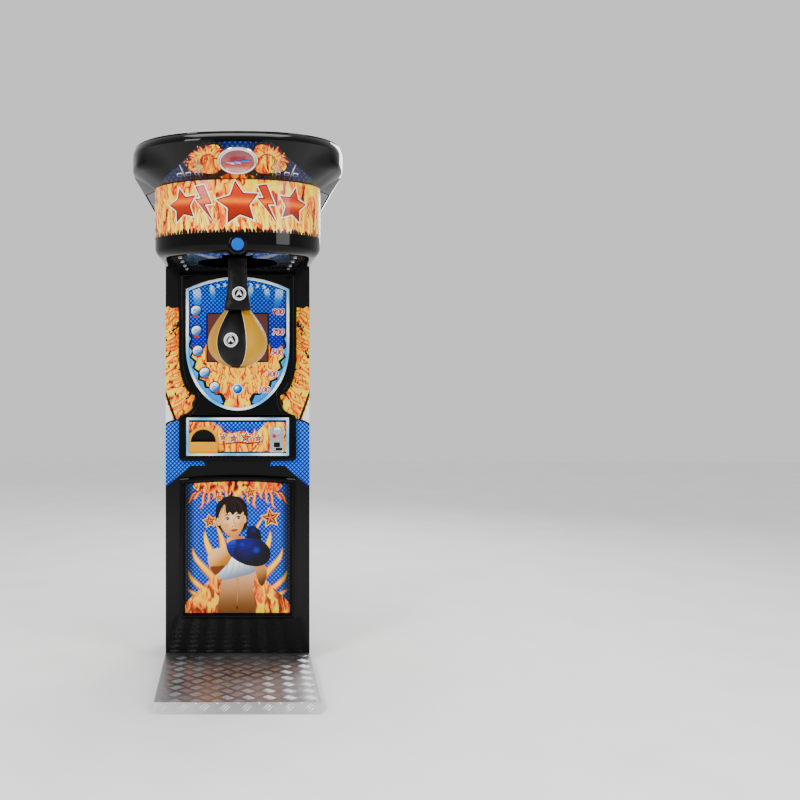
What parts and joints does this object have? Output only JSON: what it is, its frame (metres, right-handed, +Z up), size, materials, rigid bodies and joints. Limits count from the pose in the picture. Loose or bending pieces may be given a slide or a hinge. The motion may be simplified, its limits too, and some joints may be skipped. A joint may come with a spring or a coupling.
{
  "type": "boxing punch machine",
  "caption": "Upright arcade punch machine: tread-plate base, cabinet with score display and coin panel, overhanging head, and a leather speed ball on an arm that swings up into it.",
  "frame": {"origin": "middle of the footprint box, on the floor", "axes": "+Z up; the player stands at -Y and faces +Y; +X is to the player's right"},
  "size_m": [0.828, 1.46, 2.2],
  "materials": {
    "black_frame_paint": "semi-gloss black powder coat",
    "tread_plate": "bright rolled tread plate",
    "foot_rubber": "matt",
    "screw_steel": "zinc-plated",
    "cabinet_print": "black sheet with printed film",
    "cabinet_black": "black powder coat, fine texture",
    "plywood": "raw plywood",
    "trim_steel": "brushed along its length",
    "black_gloss": "high-gloss vacuum-formed plastic",
    "light_frame": "pale blue to white gradient",
    "display_print": "printed acrylic",
    "window_red": "dark red tinted acrylic",
    "board_green": "circuit board",
    "cup_yellow": "glossy yellow moulding",
    "button_red": "glossy",
    "mechanism_black": "moulded",
    "sheet_zinc": "zinc-plated sheet",
    "floor_grey": "dark grey paint",
    "badge_chrome": "polished",
    "badge_red": "domed, clear-coated",
    "button_blue": "domed translucent cap",
    "shaft_steel": "ground steel",
    "black_leather": "grained black leather",
    "ball_leather": "gold-yellow and black leather panels",
    "solenoid_brown": "wound coil in a steel yoke",
    "caster_tyre": "maroon polyurethane tyre"
  },
  "bodies": {
    "cabinet": {"base_frame": "black_frame_paint", "base_plate": "tread_plate", "base_feet": "foot_rubber", "base_screws": "screw_steel", "mast_frame": "black_frame_paint", "side_panel_left": "cabinet_print", "side_panel_right": "cabinet_print", "front_panel": "cabinet_print", "rear_panel": "cabinet_black", "shelf": "plywood", "front_trims": "trim_steel", "rear_trims": "trim_steel", "panel_screws": "screw_steel", "display_bezel": "black_gloss", "display_frame": "light_frame", "display_panel": "display_print", "score_window": "window_red", "score_board": "board_green", "coin_housing": "black_gloss", "coin_frame": "light_frame", "return_cup": "cup_yellow", "coin_plate": "trim_steel", "coin_mechanism": "mechanism_black", "coin_chute": "sheet_zinc", "cash_box": "sheet_zinc", "lower_cover": "black_gloss", "head_shell": "black_gloss", "head_wrap": "display_print", "head_floor": "floor_grey", "roof_soffit": "floor_grey", "visor_hood": "black_gloss", "roof_panel": "floor_grey", "badge_ring": "badge_chrome", "badge_face": "badge_red", "button_bezel": "black_gloss", "pivot_hangers": "floor_grey", "bearings": "shaft_steel", "latch_bracket": "sheet_zinc", "solenoid": "solenoid_brown", "stop_bumper": "foot_rubber", "main_board": "board_green", "power_supply": "sheet_zinc", "door_hinges": "trim_steel", "caster_forks": "trim_steel", "power_inlet": "mechanism_black"},
    "punch_arm": {"pivot_shaft": "shaft_steel", "ball_arm": "shaft_steel", "arm_sleeve": "black_leather", "front_pad": "black_leather", "punch_ball": "ball_leather", "sensor_disc": "mechanism_black"},
    "latch": {"latch_hook": "sheet_zinc"},
    "plunger": {"solenoid_plunger": "shaft_steel"},
    "start_button": {"start_button": "button_blue"},
    "reject_button": {"reject_button": "button_red"},
    "rear_door": {"rear_door": "cabinet_black"},
    "door_lock": {"door_lock": "trim_steel"},
    "caster_wheel_left": {"caster_wheel_left": "caster_tyre"},
    "caster_wheel_right": {"caster_wheel_right": "caster_tyre"},
    "power_switch": {"power_switch": "button_red"}
  },
  "joints": [
    {"name": "punch_arm_hinge", "type": "hinge", "parent": "cabinet", "child": "punch_arm", "pos_m": [0, -0.29, 1.88], "axis": [1, 0, 0], "range_deg": [0, 88]},
    {"name": "latch_hinge", "type": "hinge", "parent": "cabinet", "child": "latch", "pos_m": [0.04, -0.175, 1.962], "axis": [1, 0, 0], "range_deg": [-15, 0], "stiffness_Nm_per_rad": 0.25, "springref_deg": 20.05},
    {"name": "plunger_slide", "type": "slide", "parent": "cabinet", "child": "plunger", "axis": [0, 1, 0], "range_m": [0, 0.0065]},
    {"name": "start_button_push", "type": "slide", "parent": "cabinet", "child": "start_button", "axis": [0, 1, 0], "range_m": [0, 0.004], "stiffness_N_per_m": 250, "springref_m": -0.002},
    {"name": "reject_button_push", "type": "slide", "parent": "cabinet", "child": "reject_button", "axis": [0, 1, 0], "range_m": [0, 0.004], "stiffness_N_per_m": 150, "springref_m": -0.002},
    {"name": "rear_door_hinge", "type": "hinge", "parent": "cabinet", "child": "rear_door", "pos_m": [-0.192, 0.6455, 0.5], "axis": [0, 0, 1], "range_deg": [0, 110]},
    {"name": "door_lock_turn", "type": "hinge", "parent": "rear_door", "child": "door_lock", "pos_m": [0.16, 0.6405, 0.505], "axis": [0, 1, 0], "range_deg": [0, 90]},
    {"name": "caster_left_spin", "type": "hinge", "parent": "cabinet", "child": "caster_wheel_left", "pos_m": [-0.212, 0.698, 2], "axis": [1, 0, 0], "continuous": true},
    {"name": "caster_right_spin", "type": "hinge", "parent": "cabinet", "child": "caster_wheel_right", "pos_m": [0.212, 0.698, 2], "axis": [1, 0, 0], "continuous": true},
    {"name": "power_switch_rock", "type": "hinge", "parent": "cabinet", "child": "power_switch", "pos_m": [0.25, 0.6375, 0.153], "axis": [1, 0, 0], "range_deg": [0, 20]}
  ],
  "couplings": [
    {"joint": "plunger_slide", "follows": "latch_hinge", "m_per_rad": -0.023725}
  ]
}
